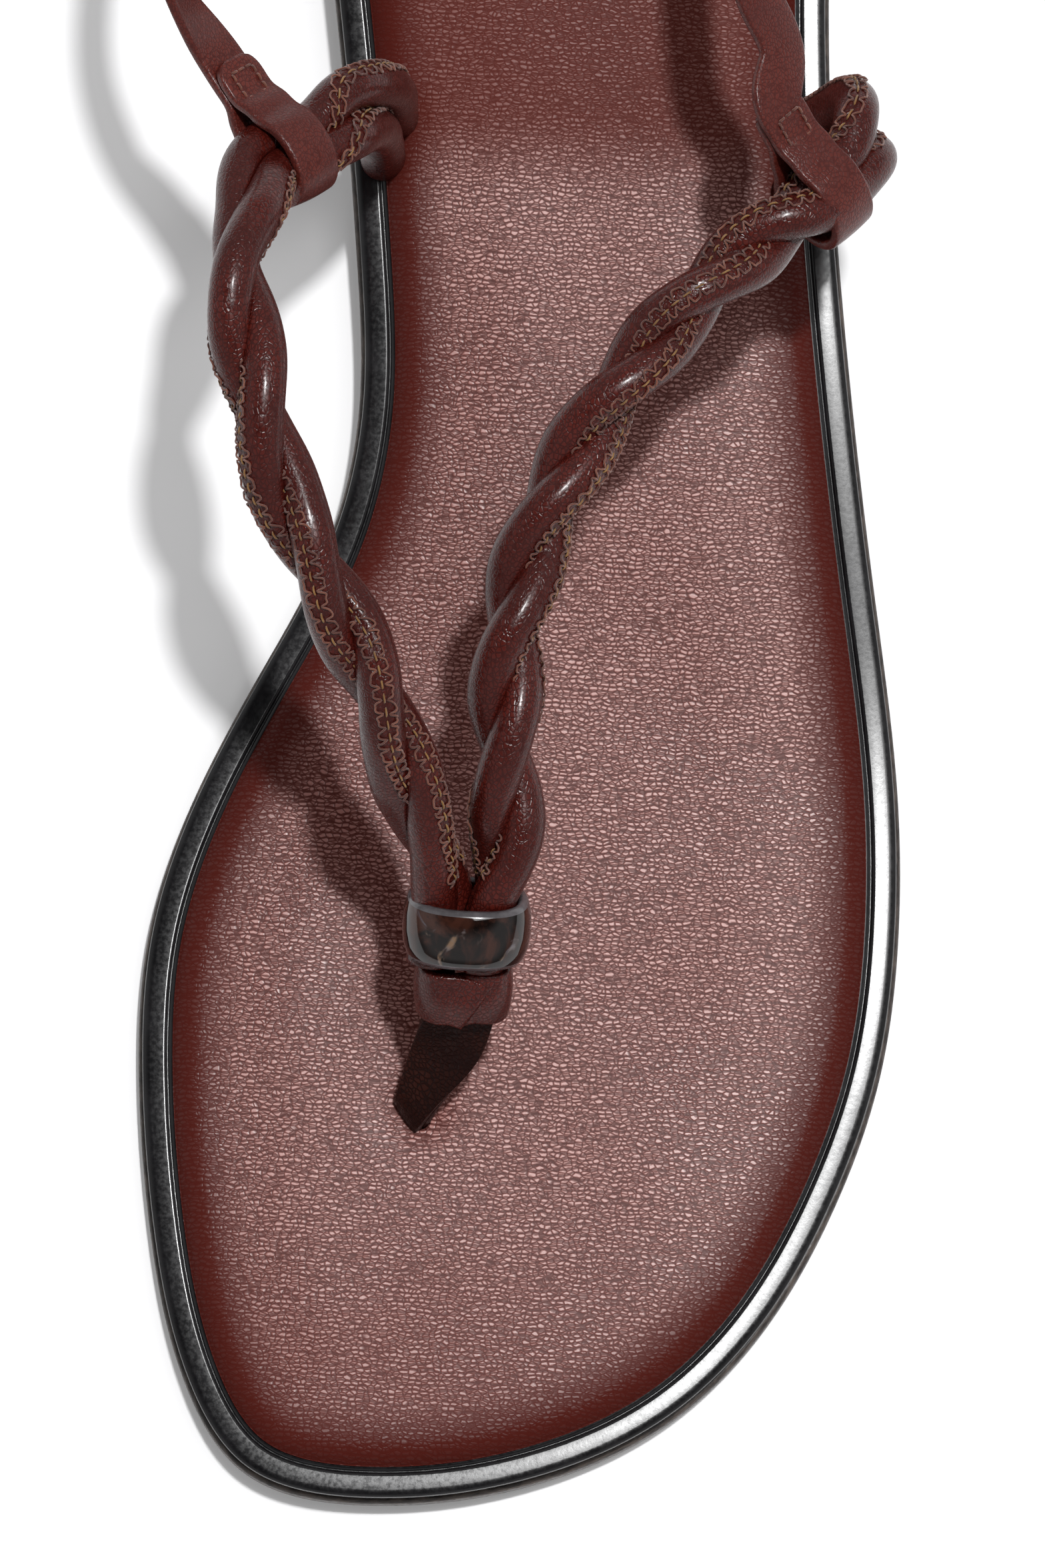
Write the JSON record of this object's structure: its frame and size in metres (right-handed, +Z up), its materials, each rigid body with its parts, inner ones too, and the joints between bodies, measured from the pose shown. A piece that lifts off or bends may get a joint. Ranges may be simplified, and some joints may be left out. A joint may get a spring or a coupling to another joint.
{
  "type": "toe-post sandal",
  "caption": "Left-foot women's leather toe-post sandal with twisted cord straps through a ring, low heel and buckled ankle strap.",
  "frame": {"origin": "on the ground under the middle of the whole sandal's bounding box", "axes": "+Z up, +Y along the sole from toe to heel, +X towards the outer side of the left foot"},
  "size_m": [0.0958, 0.2535, 0.067],
  "materials": {
    "sole_edge": "satin edge-dyed black",
    "black_leather": "glossy lacquered",
    "board": "matte",
    "steel": "brushed",
    "foam": "matte foam",
    "insole_leather": "grained semi-gloss",
    "heel_stack": "satin",
    "heel_rubber": "matte",
    "post_leather": "satin with raw edge",
    "horn_resin": "polished, dark horn pattern",
    "cord_leather": "smooth semi-gloss",
    "strap_leather": "smooth satin",
    "lining_leather": "matte",
    "buckle_metal": "polished antique",
    "cord_filler": "matte",
    "seam_thread": "waxed thread"
  },
  "bodies": {
    "sandal": {"outsole": "sole_edge", "welt_rim": "black_leather", "midsole_board": "board", "shank": "steel", "insole_pad": "foam", "insole_cover": "insole_leather", "heel_lift": "heel_stack", "heel_top_piece": "heel_rubber", "heel_nails": "steel", "toe_post": "post_leather", "ring_bead": "horn_resin", "post_wrap_medial": "cord_leather", "post_wrap_lateral": "cord_leather", "medial_cord_a": "cord_leather", "medial_core_a": "cord_filler", "medial_seam_a": "seam_thread", "medial_cord_b": "cord_leather", "medial_core_b": "cord_filler", "medial_seam_b": "seam_thread", "lateral_cord_a": "cord_leather", "lateral_core_a": "cord_filler", "lateral_seam_a": "seam_thread", "lateral_cord_b": "cord_leather", "lateral_core_b": "cord_filler", "lateral_seam_b": "seam_thread"},
    "ankle_loop": {"ankle_strap": "strap_leather", "ankle_strap_lining": "lining_leather", "buckle_strap": "strap_leather", "medial_box_stitch": "seam_thread", "lateral_box_stitch": "seam_thread"},
    "frame": {"buckle_frame": "buckle_metal"},
    "prong": {"buckle_prong": "buckle_metal"},
    "keeper": {"strap_keeper": "strap_leather"}
  },
  "joints": [
    {"name": "ankle_strap_swing", "type": "hinge", "parent": "sandal", "child": "ankle_loop", "pos_m": [-0.0282, 0.0243, 0.05], "axis": [0.9953, 0.0048, -0.0965], "range_deg": [-7, 7]},
    {"name": "buckle_tilt", "type": "hinge", "parent": "ankle_loop", "child": "frame", "pos_m": [0.022, 0.084, 0.058], "axis": [0.752, 0.0738, -0.6551], "range_deg": [0, 8]},
    {"name": "prong_lift", "type": "hinge", "parent": "frame", "child": "prong", "pos_m": [0.022, 0.084, 0.058], "axis": [0.752, 0.0738, -0.6551], "range_deg": [0, 12]},
    {"name": "keeper_slide", "type": "slide", "parent": "ankle_loop", "child": "keeper", "axis": [-0.011, 0.995, 0.0995], "range_m": [-0.003, 0.0025]}
  ]
}
